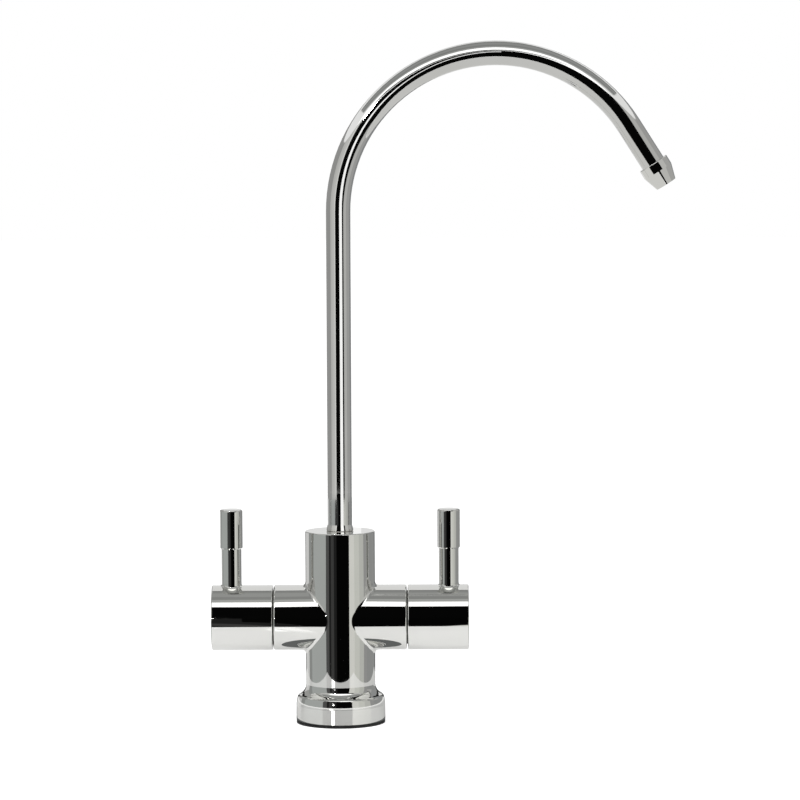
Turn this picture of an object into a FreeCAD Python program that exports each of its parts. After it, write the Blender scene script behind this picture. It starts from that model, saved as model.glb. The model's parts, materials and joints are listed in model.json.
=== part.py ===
import FreeCAD, Part
import math
import os

V = FreeCAD.Vector

# Two-way tap: a round column with two valve arms, two quarter-turn handles and a swivelling gooseneck spout.
# Sizes are in millimetres. The origin is the centre of the base, on the surface that the tap stands on.
# X runs from the left handle to the right one and the spout points along +X. Z is up.

# Base
base_dia = 40.2
lean_start = 8.1
lean_radius = 14.0
lean_angle = 15.0
shoulder_radius = 1.8
cone_angle = 58.0
foot_radius = 5.2
flange_bottom_edge = 0.3
gasket_thick = 1.2
gasket_inset = 0.1
gasket_rib_width = 1.6
gasket_rib_height = 1.0
gasket_rib_room = 0.1
gasket_port_room = 1.6

# Column and valve arms
column_dia = 31.4
column_top = 87.0
column_top_edge = 0.4
arm_inset = 1.0
arm_axis = 47.6
arm_reach = 30.0
arm_edge = 0.8
arm_blend = 1.8
arm_wall = 4.2

# Waterways and fixing hole in the body
port_dia = 9.0
port_depth = 10.0
port_offset = 8.5
passage_dia = 5.0
passage_offset = 6.6
seat_port_dia = 6.0
seat_distance = 10.5
stud_hole_dia = 5.0
stud_hole_depth = 14.0

# Spout
tube_dia = 11.0
tube_wall = 1.0
bend_start = 230.6
bend_radius = 70.7
bend_angle = 147.5
tip_length = 19.9
nozzle_rim_wall = 1.5
nozzle_rim_length = 4.2
nozzle_cone_length = 6.9
nozzle_bore = 8.0
nozzle_end_wall = 0.85
nozzle_socket_depth = 3.6
nozzle_edge = 0.35

# Spout foot: spigot, bush, seals and retaining ring, with depths below the top of the column
lip_width = 0.55
lip_height = 2.8
lip_straight = 0.9
lip_edge = 0.25
lip_ledge = 0.05
journal_step = 0.2
spigot_bore = 6.0
spigot_tail = 10.0
spigot_depth = 21.5
socket_depth = 24.5
bush_wall = 0.5
bush_length = 10.0
ring_depth = 12.0
ring_thick = 1.0
ring_bite = 0.8
ring_mouth_width = 2.8
upper_seal_depth = 15.4
lower_seal_depth = 18.8
spout_groove_depth = 1.1

# Cartridge, stacked outward from the seat
seat_seal_thick = 1.5
seat_seal_width = 3.6
disc_thick = 2.5
disc_core_dia = 6.0
disc_opening_angle = 80.0
disc_opening_rim = 1.8
disc_lug_width = 3.0
cage_wall = 1.1
chamber_gap = 0.8
driver_thick = 1.6
driver_tang_length = 1.4
driver_tang_angle = 30.0
driver_tang_inset = 2.4
tang_side_room_angle = 2.0
tang_back_room = 0.1
stop_lug_length = 1.4
stop_lug_angle = 30.0
stop_lug_inner = 5.3
stop_lug_outer = 7.4
thread_start = 22.0
washer_thick = 1.0
washer_width = 1.6
hex_thick = 3.0
hex_corner_room = 0.4
hex_chamfer = 0.6
spindle_dia = 9.0
spindle_groove_depth = 1.05
spindle_seal_spacing = 4.0
spindle_seal_inset = 6.0
circlip_thick = 0.8
circlip_width = 2.0
circlip_groove_depth = 0.5
circlip_mouth_angle = 60.0
groove_side_room = 0.25

# Handle
seam_gap = 0.4
hub_length = 27.5
hub_wall = 2.0
hub_edge = 0.4
hub_cavity_depth = 7.1
spline_dia = 8.0
spline_depth = 0.45
spline_teeth = 20
spline_root_share = 0.6
spline_tip_share = 0.36
pilot_dia = 6.4
pilot_reach = 3.2
lever_inset = 8.9
lever_boss_rise = 0.9
lever_boss_fillet = 0.8
stem_dia = 9.0
grip_dia = 10.2
grip_bottom = 79.0
grip_length = 17.8
grip_chamfer = 0.5
grip_top_radius = 0.8
stud_dia = 5.0
stud_dimple_depth = 0.8

# Fits
running_fit = 0.05
seated_fit = 0.02
thread_fit = 0.05
turning_gap = 0.05
quarter_turn = 90.0
stop_margin_angle = 1.0

# Worked out from the sizes above
column_r = column_dia / 2
arm_dia = column_dia - 2 * arm_inset
arm_r = arm_dia / 2
arm_bore_dia = arm_dia - 2 * arm_wall
hub_dia = arm_dia
hub_start = arm_reach + seam_gap
hub_end = hub_start + hub_length
hub_cavity_dia = hub_dia - 2 * hub_wall
hub_cavity_end = hub_start + hub_cavity_depth
lever_x = hub_end - lever_inset
cage_dia = arm_bore_dia - 2 * chamber_gap
cage_bore = cage_dia - 2 * cage_wall
disc_dia = cage_bore - 2 * running_fit
journal_dia = tube_dia - 2 * journal_step
seal_bore_dia = journal_dia + 2 * running_fit
bush_dia = seal_bore_dia + 2 * bush_wall
lip_dia = tube_dia + 2 * lip_width
lip_bottom = column_top + turning_gap
lip_top = lip_bottom + lip_height

# Distances from the column axis along the cartridge
fixed_disc_start = seat_distance + seat_seal_thick
moving_disc_start = fixed_disc_start + disc_thick + seated_fit
driver_start = moving_disc_start + disc_thick + seated_fit
driver_end = driver_start + driver_thick
bonnet_shoulder = driver_end + turning_gap
hex_start = arm_reach + washer_thick
hex_end = hex_start + hex_thick
circlip_start = hex_end + turning_gap
spindle_bore_dia = spindle_dia + 2 * running_fit
spline_start = hub_cavity_end - turning_gap
pilot_start = lever_x - pilot_reach
pilot_end = lever_x + pilot_reach


def upright(dia, bottom, top, x=0.0):
    """A round bar along Z."""
    return Part.makeCylinder(dia / 2, top - bottom, V(x, 0, bottom), V(0, 0, 1))


def turned(dia, start, end):
    """A round bar on the right-hand valve axis, between two distances from the column axis."""
    return Part.makeCylinder(dia / 2, end - start, V(start, 0, arm_axis), V(1, 0, 0))


def turned_ring(outer_dia, inner_dia, start, end):
    return turned(outer_dia, start, end).cut(turned(inner_dia, start, end))


def sector(inner_r, outer_r, middle, width, start, end):
    """A slice of a ring on the valve axis. Angles are in degrees from +Y towards +Z."""
    def at(r, angle):
        a = math.radians(angle)
        return V(start, r * math.cos(a), arm_axis + r * math.sin(a))

    low, high = middle - width / 2, middle + width / 2
    outline = [
        Part.LineSegment(at(inner_r, low), at(outer_r, low)).toShape(),
        Part.Arc(at(outer_r, low), at(outer_r, middle), at(outer_r, high)).toShape(),
        Part.LineSegment(at(outer_r, high), at(inner_r, high)).toShape(),
        Part.Arc(at(inner_r, high), at(inner_r, middle), at(inner_r, low)).toShape(),
    ]
    return Part.Face(Part.Wire(outline)).extrude(V(end - start, 0, 0))


def both_ways(make):
    """The union of a shape made towards the top of the valve axis and the same towards the bottom."""
    return make(90.0).fuse(make(270.0))


def revolved(outline, centre, axis):
    """A solid turned from a closed outline of edges about an axis."""
    return Part.Face(Part.Wire(outline)).revolve(centre, axis, 360)


def o_ring(groove_dia, bore_dia, centre, axis):
    """A seal as it sits, pressed a little flat by the floor of its groove and the bore around it."""
    middle_r = (bore_dia + groove_dia) / 4
    half = (bore_dia - groove_dia) / 4 - seated_fit
    flat = half * math.tan(math.radians(22.5))
    section = [(half, -flat), (half, flat), (flat, half), (-flat, half),
               (-half, flat), (-half, -flat), (-flat, -half), (flat, -half), (half, -flat)]
    ring = revolved(line(*[(middle_r + r, z) for r, z in section]), V(0, 0, 0), V(0, 0, 1))
    ring.Placement = FreeCAD.Placement(centre, FreeCAD.Rotation(V(0, 0, 1), axis))
    return ring


def seal_groove(journal, groove_depth, bore_dia):
    """The floor diameter and the width of an O-ring's groove."""
    floor_dia = journal - 2 * groove_depth
    return floor_dia, (bore_dia - floor_dia) / 2 + groove_side_room


def mirrored(shape):
    """The left-hand piece for a right-hand one."""
    return shape.mirror(V(0, 0, 0), V(1, 0, 0))


def line(*points):
    """Straight edges through points given as (radius, height) in the XZ plane."""
    ends = zip(points, points[1:])
    return [Part.LineSegment(V(a[0], 0, a[1]), V(b[0], 0, b[1])).toShape() for a, b in ends]


def corner(centre, radius, start_angle, end_angle):
    """A round corner in the XZ plane, with angles in degrees from +X towards +Z."""
    def at(angle):
        a = math.radians(angle)
        return V(centre[0] + radius * math.cos(a), 0, centre[1] + radius * math.sin(a))

    return [Part.Arc(at(start_angle), at((start_angle + end_angle) / 2), at(end_angle)).toShape()]


def beyond(point, distance, angle):
    """The point at a distance from another in the XZ plane, at an angle in degrees from +X towards +Z."""
    a = math.radians(angle)
    return (point[0] + distance * math.cos(a), point[1] + distance * math.sin(a))


def column_blank():
    """The base flange and column, turned in one outline that flares from the column to the flange's wall."""
    base_r, bottom, top_edge = base_dia / 2, gasket_thick, column_top_edge
    cone = math.radians(cone_angle)
    lean_centre = (base_r - lean_radius, lean_start)
    shoulder = beyond(lean_centre, lean_radius - shoulder_radius, lean_angle)
    cone_end = beyond(shoulder, shoulder_radius, cone_angle)
    foot_r = column_r + foot_radius * (1 - math.cos(cone))
    foot_centre = (column_r + foot_radius,
                   cone_end[1] + (cone_end[0] - foot_r) / math.tan(cone) + foot_radius * math.sin(cone))
    outline = line((0, bottom), (base_r - flange_bottom_edge, bottom), (base_r, bottom + flange_bottom_edge),
                   (base_r, lean_start))
    outline += corner(lean_centre, lean_radius, 0, lean_angle)
    outline += corner(shoulder, shoulder_radius, lean_angle, cone_angle)
    outline += line(cone_end, beyond(foot_centre, foot_radius, cone_angle + 180))
    outline += corner(foot_centre, foot_radius, cone_angle + 180, 180)
    outline += line((column_r, foot_centre[1]), (column_r, column_top - top_edge))
    outline += corner((column_r - top_edge, column_top - top_edge), top_edge, 0, 90)
    outline += line((column_r - top_edge, column_top), (0, column_top), (0, bottom))
    return revolved(outline, V(0, 0, 0), V(0, 0, 1))


def arm_blank():
    """Both valve arms as one cross bar with rounded ends."""
    bar = Part.makeCylinder(arm_r, 2 * arm_reach, V(-arm_reach, 0, arm_axis), V(1, 0, 0))
    ends = [e for e in bar.Edges if isinstance(e.Curve, Part.Circle)]
    return bar.makeFillet(arm_edge, ends)


def blended_blank():
    """The column and arms as one casting, with a fillet all round each arm's root."""
    blank = column_blank().fuse(arm_blank())
    plain = (Part.Circle, Part.Line)
    roots = [e for e in blank.Edges if not isinstance(e.Curve, plain)]
    return blank.makeFillet(arm_blend, roots)


def body_casting():
    body = blended_blank()
    bottom = gasket_thick
    groove_mid = (gasket_outer_r() + gasket_inner_r()) / 2
    groove_half = gasket_rib_width / 2 + gasket_rib_room
    groove = upright(2 * (groove_mid + groove_half), bottom, bottom + gasket_rib_height + gasket_rib_room)
    groove = groove.cut(upright(2 * (groove_mid - groove_half), bottom, column_top))
    body = body.cut(groove)
    body = body.cut(upright(stud_hole_dia, bottom, bottom + stud_hole_depth))
    for side in (-1, 1):
        body = body.cut(upright(port_dia, bottom, bottom + port_depth, side * port_offset))
        body = body.cut(upright(passage_dia, bottom, arm_axis, side * passage_offset))
    for cut in valve_chamber():
        body = body.cut(cut).cut(mirrored(cut))
    for cut in spout_socket():
        body = body.cut(cut)
    return body


def valve_chamber():
    """What is bored from the right-hand arm: the chamber, its seat port and the way up to the spout."""
    mouth_chamfer = thread_fit + arm_edge / 2
    chamber = turned(arm_bore_dia, seat_distance, arm_reach)
    mouth = Part.makeCone(arm_bore_dia / 2, arm_bore_dia / 2 + mouth_chamfer, mouth_chamfer,
                          V(arm_reach - mouth_chamfer, 0, arm_axis), V(1, 0, 0))
    seat_port = turned(seat_port_dia, passage_offset, seat_distance)
    window_x = moving_disc_start + disc_thick / 2
    low = V(window_x, 0, arm_axis + arm_bore_dia / 2 - passage_dia / 4)
    high = V(seal_bore_dia / 4, 0, column_top - socket_depth + passage_dia / 4)
    way_up = Part.makeCylinder(passage_dia / 2, (high - low).Length, low, high - low)
    return [chamber, mouth, seat_port, way_up]


def spout_socket():
    """What is bored from the top of the column for the foot of the spout."""
    seal_bore = upright(seal_bore_dia, column_top - socket_depth, column_top)
    bush_seat = upright(bush_dia, column_top - bush_length, column_top)
    half = ring_thick / 2 + groove_side_room
    middle = column_top - ring_depth
    ring_groove = upright(retaining_ring_dia() + 2 * groove_side_room, middle - half, middle + half)
    return [seal_bore, bush_seat, ring_groove]


def gasket_outer_r():
    return base_dia / 2 - gasket_inset


def gasket_inner_r():
    return port_offset + port_dia / 2 + gasket_port_room


def base_gasket():
    """The rubber ring under the base, with a rib that locates it in the body's groove."""
    middle, half = (gasket_outer_r() + gasket_inner_r()) / 2, gasket_rib_width / 2
    ring = upright(2 * gasket_outer_r(), 0, gasket_thick)
    rib = upright(2 * (middle + half), 0, gasket_thick + gasket_rib_height)
    rib = rib.cut(upright(2 * (middle - half), 0, gasket_thick + gasket_rib_height))
    return ring.fuse(rib).cut(upright(2 * gasket_inner_r(), 0, gasket_thick))


def spout_path():
    """The centre line of the tube: up, round the bend and down the straight tip."""
    a = math.radians(bend_angle)

    def on_bend(angle):
        return V(bend_radius * (1 - math.cos(angle)), 0, bend_start + bend_radius * math.sin(angle))

    heading = V(math.sin(a), 0, math.cos(a))
    rim = on_bend(a) + heading * tip_length
    tube_end = rim + heading * nozzle_socket_depth
    rise = Part.LineSegment(V(0, 0, lip_top), on_bend(0)).toShape()
    bend = Part.Arc(on_bend(0), on_bend(a / 2), on_bend(a)).toShape()
    tip = Part.LineSegment(on_bend(a), tube_end).toShape()
    return Part.Wire([rise, bend, tip]), rim, heading


def spout_tube():
    path, _, _ = spout_path()

    def swept(dia):
        section = Part.Wire([Part.makeCircle(dia / 2, V(0, 0, lip_top), V(0, 0, 1))])
        return path.makePipeShell([section], True, False)

    return swept(tube_dia).cut(swept(tube_dia - 2 * tube_wall))


def spout_nozzle():
    """The turned outlet: a rim that takes the tube's end, and a cone down to the mouth."""
    _, rim, heading = spout_path()
    rim_r = tube_dia / 2 + nozzle_rim_wall
    end_r = nozzle_bore / 2 + nozzle_end_wall
    length = nozzle_rim_length + nozzle_cone_length
    outline = line((0, 0), (rim_r - nozzle_edge, 0))
    outline += corner((rim_r - nozzle_edge, nozzle_edge), nozzle_edge, -90, 0)
    outline += line((rim_r, nozzle_edge), (rim_r, nozzle_rim_length), (end_r, length), (0, length), (0, 0))
    blank = revolved(outline, V(0, 0, 0), V(0, 0, 1))
    blank = blank.cut(upright(nozzle_bore, 0, length))
    blank = blank.cut(upright(tube_dia + 2 * seated_fit, 0, nozzle_socket_depth + seated_fit))
    turn = FreeCAD.Rotation(V(0, 0, 1), heading)
    blank.Placement = FreeCAD.Placement(rim, turn)
    return blank


def spout_spigot():
    """The turned foot of the spout: tail in the tube, lip on the column, journal in the bush."""
    foot = column_top - spigot_depth
    tail = upright(tube_dia - 2 * tube_wall - 2 * seated_fit, lip_bottom, lip_top + spigot_tail)
    lip_r, edge = lip_dia / 2, lip_edge
    lip = line((0, lip_bottom), (lip_r - edge, lip_bottom))
    lip += corner((lip_r - edge, lip_bottom + edge), edge, -90, 0)
    lip += line((lip_r, lip_bottom + edge), (lip_r, lip_bottom + lip_straight),
                (tube_dia / 2 + lip_ledge, lip_top), (0, lip_top), (0, lip_bottom))
    spigot = upright(journal_dia, foot, lip_top).fuse(revolved(lip, V(0, 0, 0), V(0, 0, 1))).fuse(tail)
    floor_dia, width = seal_groove(journal_dia, spout_groove_depth, seal_bore_dia)
    for depth, wide in ((upper_seal_depth, width), (lower_seal_depth, width),
                        (ring_depth, ring_thick + 2 * turning_gap)):
        middle = column_top - depth
        spigot = spigot.cut(upright(journal_dia, middle - wide / 2, middle + wide / 2).cut(
            upright(floor_dia, middle - wide / 2, middle + wide / 2)))
    return spigot.cut(upright(spigot_bore, foot, lip_top + spigot_tail))


def spout_o_ring(depth):
    floor_dia, _ = seal_groove(journal_dia, spout_groove_depth, seal_bore_dia)
    return o_ring(floor_dia, seal_bore_dia, V(0, 0, column_top - depth), V(0, 0, 1))


def retaining_ring_dia():
    return seal_bore_dia + 2 * ring_bite


def spout_retaining_ring():
    """The open spring ring on the spigot, sprung out into the groove in the column."""
    floor_dia, _ = seal_groove(journal_dia, spout_groove_depth, seal_bore_dia)
    bottom = column_top - ring_depth - ring_thick / 2
    outer, inner = retaining_ring_dia(), floor_dia + 2 * seated_fit
    ring = upright(outer, bottom, bottom + ring_thick).cut(upright(inner, bottom, bottom + ring_thick))
    mouth = Part.makeBox(ring_mouth_width, outer, ring_thick, V(-ring_mouth_width / 2, 0, bottom))
    return ring.cut(mouth)


def spout_bush():
    """The plastic sleeve that the spout turns in."""
    bottom, top = column_top - bush_length + seated_fit, column_top
    outer = bush_dia - 2 * seated_fit
    return upright(outer, bottom, top).cut(upright(seal_bore_dia, bottom, top))


def seat_seal():
    outer = seat_port_dia + 2 * seat_seal_width
    return turned_ring(outer, seat_port_dia, seat_distance, fixed_disc_start)


def disc_openings(outer_r, start, end):
    """The two opposite ports of a ceramic disc, towards the top and the bottom."""
    return both_ways(lambda way: sector(disc_core_dia / 2, outer_r, way, disc_opening_angle, start, end))


def fixed_disc():
    """The ceramic seat disc: two ports, and two lugs that lock it in the bonnet's cage."""
    start, end = fixed_disc_start, fixed_disc_start + disc_thick
    disc = turned(disc_dia, start, end)
    lugs = Part.makeBox(disc_thick, cage_dia, disc_lug_width,
                        V(start, -cage_dia / 2, arm_axis - disc_lug_width / 2))
    lugs = lugs.common(turned(cage_dia, start, end))
    return disc.fuse(lugs).cut(disc_openings(disc_dia / 2 - disc_opening_rim, start, end))


def tang(start, length, side_room_angle=0.0, back_room=0.0):
    """The driver's two teeth, or with some room the notches that they fit."""
    inner_r = disc_dia / 2 - driver_tang_inset - back_room
    return both_ways(lambda way: sector(
        inner_r, disc_dia / 2, way, driver_tang_angle + side_room_angle, start, start + length))


def moving_disc():
    """The ceramic disc that the spindle turns. Closed, its two wings cover the ports below."""
    start, end = moving_disc_start, moving_disc_start + disc_thick
    disc = turned(disc_dia, start, end)
    for side in (0.0, 180.0):
        disc = disc.cut(sector(disc_core_dia / 2, disc_dia, side, disc_opening_angle, start, end))
    notch_depth = driver_tang_length - (driver_start - end) + turning_gap
    return disc.cut(tang(end - notch_depth, notch_depth, tang_side_room_angle, tang_back_room))


def cartridge_bonnet():
    """The brass housing of the valve: a cage with windows, a thread in the arm and a hexagon outside."""
    cage = turned(cage_dia, fixed_disc_start, thread_start)
    thread = turned(arm_bore_dia - 2 * thread_fit, thread_start, hex_start)
    bonnet = cage.fuse(thread).fuse(bonnet_hexagon())
    bonnet = bonnet.cut(turned(cage_bore, fixed_disc_start, bonnet_shoulder))
    bonnet = bonnet.cut(turned(spindle_bore_dia, bonnet_shoulder, hex_end))
    slot_width = disc_lug_width + 2 * running_fit
    slots = Part.makeBox(disc_thick + seated_fit, arm_bore_dia, slot_width,
                         V(fixed_disc_start, -arm_bore_dia / 2, arm_axis - slot_width / 2))
    windows = both_ways(lambda way: sector(
        cage_bore / 2 - cage_wall, cage_dia, way, disc_opening_angle, moving_disc_start, driver_start))
    stop_width = stop_lug_angle + quarter_turn + 2 * stop_margin_angle
    stop_track = sector(stop_lug_inner - running_fit, stop_lug_outer + running_fit,
                        90 + quarter_turn / 2, stop_width,
                        bonnet_shoulder, bonnet_shoulder + stop_lug_length + turning_gap)
    return bonnet.cut(slots).cut(windows).cut(stop_track)


def bonnet_hexagon():
    """The spanner hexagon, with its outer corners turned off."""
    corner_r = hub_cavity_dia / 2 - hex_corner_room
    corners = [V(hex_start, corner_r * math.cos(math.radians(60 * i)),
                 arm_axis + corner_r * math.sin(math.radians(60 * i))) for i in range(7)]
    hexagon = Part.Face(Part.makePolygon(corners)).extrude(V(hex_thick, 0, 0))
    blank = turned(2 * corner_r, hex_start, hex_end)
    outer = [e for e in blank.Edges if isinstance(e.Curve, Part.Circle) and e.Curve.Center.x > hex_start]
    return hexagon.common(blank.makeChamfer(hex_chamfer, outer))


def bonnet_washer():
    """The flat seal between the hexagon and the end of the arm."""
    inner = arm_bore_dia
    return turned_ring(inner + 2 * washer_width, inner, arm_reach, hex_start)


def spline_bar(room, start, end):
    """A straight-sided spline on the valve axis. Room grows it all round, for the hub's bore."""
    tip_r = spline_dia / 2 + room
    root_r = tip_r - spline_depth
    pitch = 360 / spline_teeth
    room_angle = math.degrees(room / tip_r)
    outline = []
    for tooth in range(spline_teeth):
        for r, share in ((root_r, -spline_root_share), (tip_r, -spline_tip_share),
                         (tip_r, spline_tip_share), (root_r, spline_root_share)):
            flank = share * pitch / 2 + math.copysign(room_angle, share)
            a = math.radians(tooth * pitch + flank)
            outline.append(V(start, r * math.cos(a), arm_axis + r * math.sin(a)))
    outline.append(outline[0])
    return Part.Face(Part.makePolygon(outline)).extrude(V(end - start, 0, 0))


def spindle_seal_places():
    """Where the two O-rings sit on the spindle, counted in from the hexagon's face."""
    outer = hex_end - spindle_seal_inset
    return (outer - spindle_seal_spacing, outer)


def spindle():
    """The brass spindle: driver and stop lug inside, seal grooves, clip groove, spline and pilot outside."""
    bar = turned(disc_dia, driver_start, driver_end)
    bar = bar.fuse(turned(spindle_dia, driver_end, spline_start))
    bar = bar.fuse(spline_bar(0.0, spline_start, pilot_start)).fuse(turned(pilot_dia, pilot_start, pilot_end))
    bar = bar.fuse(tang(driver_start - driver_tang_length, driver_tang_length))
    bar = bar.fuse(sector(stop_lug_inner, stop_lug_outer, 90, stop_lug_angle,
                          driver_end, driver_end + stop_lug_length))
    floor_dia, width = seal_groove(spindle_dia, spindle_groove_depth, spindle_bore_dia)
    for place in spindle_seal_places():
        bar = bar.cut(turned_ring(spindle_dia, floor_dia, place - width / 2, place + width / 2))
    clip_floor = spindle_dia - 2 * circlip_groove_depth
    bar = bar.cut(turned_ring(spindle_dia, clip_floor, circlip_start - seated_fit,
                              circlip_start + circlip_thick + seated_fit))
    return bar.cut(upright(stud_dia, stud_tip_bottom(), arm_axis + pilot_dia, lever_x))


def stud_tip_bottom():
    """The floor of the dimple in the spindle that the lever's stud bears on."""
    return arm_axis + pilot_dia / 2 - stud_dimple_depth


def spindle_o_rings():
    """The pair of seals on the spindle, as two solids."""
    floor_dia, _ = seal_groove(spindle_dia, spindle_groove_depth, spindle_bore_dia)
    rings = [o_ring(floor_dia, spindle_bore_dia, V(place, 0, arm_axis), V(1, 0, 0))
             for place in spindle_seal_places()]
    return Part.makeCompound(rings)


def spindle_circlip():
    """The open clip that keeps the spindle in the bonnet."""
    inner = spindle_dia - 2 * circlip_groove_depth + 2 * seated_fit
    outer = inner + 2 * circlip_width
    end = circlip_start + circlip_thick
    ring = turned_ring(outer, inner, circlip_start, end)
    return ring.cut(sector(inner / 4, outer, 270, circlip_mouth_angle, circlip_start, end))


def handle_hub():
    """The round hub of a handle: a skirt over the hexagon, a splined bore and the lever's boss."""
    blank = turned(hub_dia, hub_start, hub_end)
    rims = [e for e in blank.Edges if isinstance(e.Curve, Part.Circle)]
    hub = blank.makeFillet(hub_edge, rims).fuse(upright(stem_dia, arm_axis, lever_foot(), lever_x))
    root = [e for e in hub.Edges if not isinstance(e.Curve, (Part.Circle, Part.Line))]
    hub = hub.makeFillet(lever_boss_fillet, root)
    hub = hub.cut(turned(hub_cavity_dia, hub_start, hub_cavity_end))
    hub = hub.cut(spline_bar(seated_fit, hub_cavity_end, pilot_start))
    hub = hub.cut(turned(pilot_dia + 2 * seated_fit, pilot_start, pilot_end + turning_gap))
    return hub.cut(upright(stud_dia, arm_axis, lever_foot(), lever_x))


def lever_foot():
    """The top of the low boss on the hub that the lever stands on."""
    return arm_axis + hub_dia / 2 + lever_boss_rise


def handle_lever():
    """The turned lever: a stem with a thicker grip above, and a stud that screws through the hub."""
    top = grip_bottom + grip_length
    stem_r, grip_r = stem_dia / 2, grip_dia / 2
    stud_r = stud_dia / 2 - seated_fit
    bottom = stud_tip_bottom() + seated_fit
    foot = lever_foot() + seated_fit
    outline = line((0, bottom), (stud_r, bottom), (stud_r, foot), (stem_r, foot), (stem_r, grip_bottom),
                   (grip_r - grip_chamfer, grip_bottom), (grip_r, grip_bottom + grip_chamfer),
                   (grip_r, top - grip_top_radius))
    outline += corner((grip_r - grip_top_radius, top - grip_top_radius), grip_top_radius, 0, 90)
    outline += line((grip_r - grip_top_radius, top), (0, top), (0, bottom))
    lever = revolved(outline, V(0, 0, 0), V(0, 0, 1))
    lever.translate(V(lever_x, 0, 0))
    return lever


def pieces():
    """Every sub-part by name."""
    made = {
        "body_casting": body_casting(),
        "base_gasket": base_gasket(),
        "spout_bush": spout_bush(),
        "spout_tube": spout_tube(),
        "spout_spigot": spout_spigot(),
        "spout_nozzle": spout_nozzle(),
        "spout_upper_o_ring": spout_o_ring(upper_seal_depth),
        "spout_lower_o_ring": spout_o_ring(lower_seal_depth),
        "spout_retaining_ring": spout_retaining_ring(),
    }
    handed = {
        "cartridge_bonnet": cartridge_bonnet(),
        "bonnet_washer": bonnet_washer(),
        "seat_seal": seat_seal(),
        "fixed_disc": fixed_disc(),
        "moving_disc": moving_disc(),
        "spindle": spindle(),
        "spindle_o_rings": spindle_o_rings(),
        "spindle_circlip": spindle_circlip(),
        "handle_hub": handle_hub(),
        "handle_lever": handle_lever(),
    }
    for name, shape in handed.items():
        made["right_" + name] = shape
        made["left_" + name] = mirrored(shape)
    return made


def main():
    os.makedirs("parts", exist_ok=True)
    for name, shape in pieces().items():
        shape.exportStep("parts/" + name + ".step")
        print(name, "solids", len(shape.Solids), "valid", shape.isValid(), "volume", round(shape.Volume, 1))


main()
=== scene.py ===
import json
import math

import bmesh
import bpy
from mathutils import Matrix, Vector


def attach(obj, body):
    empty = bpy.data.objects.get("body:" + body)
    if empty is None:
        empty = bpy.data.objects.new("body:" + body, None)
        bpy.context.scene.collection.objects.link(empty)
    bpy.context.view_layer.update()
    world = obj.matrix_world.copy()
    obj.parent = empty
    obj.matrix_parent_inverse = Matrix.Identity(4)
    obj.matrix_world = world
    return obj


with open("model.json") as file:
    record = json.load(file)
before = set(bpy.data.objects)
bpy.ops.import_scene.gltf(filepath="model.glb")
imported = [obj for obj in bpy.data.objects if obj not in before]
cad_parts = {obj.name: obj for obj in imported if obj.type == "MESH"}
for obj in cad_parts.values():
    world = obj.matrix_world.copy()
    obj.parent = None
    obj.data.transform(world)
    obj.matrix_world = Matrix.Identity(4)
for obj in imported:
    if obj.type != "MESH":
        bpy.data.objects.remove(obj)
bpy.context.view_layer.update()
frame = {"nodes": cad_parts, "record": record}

MM = 0.001

# Camera, as the photograph was taken: far away, a little above the tap and looking slightly down
CAMERA_PLACE = Vector((27.35, -1700.0, 280.0)) * MM
CAMERA_DOWN_DEGREES = 4.509
CAMERA_ROLL_DEGREES = -0.252
CAMERA_LENS_MM = 170.6
SENSOR_WIDTH_MM = 36.0

# Places of the casting's bores and of the spout's bend, in millimetres, from the CAD sizes
VALVE_AXIS_Z = 47.6
CHAMBER_R = 10.56
SOCKET_R = 5.92
PORTS_R = 13.2
PORTS_TOP_Z = 16.0
UNDERSIDE_Z = 1.25
BEND_CENTRE_X = 70.7
BEND_CENTRE_Z = 230.6

# Tapped holes in the underside, in millimetres
PORT_X = 8.5
PORT_DIA = 9.0
STUD_HOLE_DIA = 5.0
HOLES_MOUTH_Z = 1.2
THREAD_LEAD_IN = 0.9
THREAD_PITCH = 1.0
PORT_THREAD_DEPTH = 9.0
STUD_THREAD_DEPTH = 12.0
# Shares of the pitch: how high the crest stands, and half its width at the foot and at the top
THREAD_CREST_SHARE = 0.28
THREAD_FOOT_SHARE = 0.44
THREAD_FLAT_SHARE = 0.06

# How wide the marks in each finish are, and how high the fine ones stand, in millimetres
POLISH_PATCH = 9.0
PLATE_PATCH = 22.0
RIPPLE_WIDTH = 5.0
RIPPLE_HEIGHT = 0.0012
WASH_PATCH = 3.0
BRASS_GRAIN = 1.5
TARNISH_PATCH = 4.0
BLOOM_PATCH = 6.0
ACETAL_CLOUD = 5.0
FIBRE_WIDTH = 0.5
ALUMINA_SPECK = 0.4
OXIDE_PATCH = 2.5
DRAWN_RIPPLE_WIDTH = 1.6
# Lines from the drawing die and the tool are really about 0.1 wide, and are drawn coarser so that they show
DRAWN_LINE = 0.35
TOOL_MARK = 0.35
TOOL_MARK_HEIGHT = 0.003
CASTING_MARK_HEIGHT = 0.004
RUBBER_GRAIN_HEIGHT = 0.02
FIBRE_NAP_HEIGHT = 0.02
ALUMINA_PORE_DEPTH = 0.002
OXIDE_SKIN_HEIGHT = 0.003

# Plain light. The key and fill lamps are large, soft and equal enough to keep colours as written
WORLD_LEVEL = 0.55
KEY_PLACE = (-700, -900, 1200)
KEY_WATTS = 9.0
FILL_PLACE = (900, -500, 900)
FILL_WATTS = 4.0
LAMP_WIDTH = 900
LAMPS_AIM = (0, 0, 100)

# Chrome gives back about four fifths of the light, so the cards are lit by that much more
SEEN_IN_CHROME = 1.27

# How bright the tent's own lights are
SMALL_LAMP = 60.0
WEAK_LAMP = 10.0
SOFTBOX = 1.6
GLEAM = 4.5

# Radii of the round bars whose reflections set the cards' places, in millimetres
COLUMN_R = 15.7
TUBE_R = 5.5
BASE_R = 20.1

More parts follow.
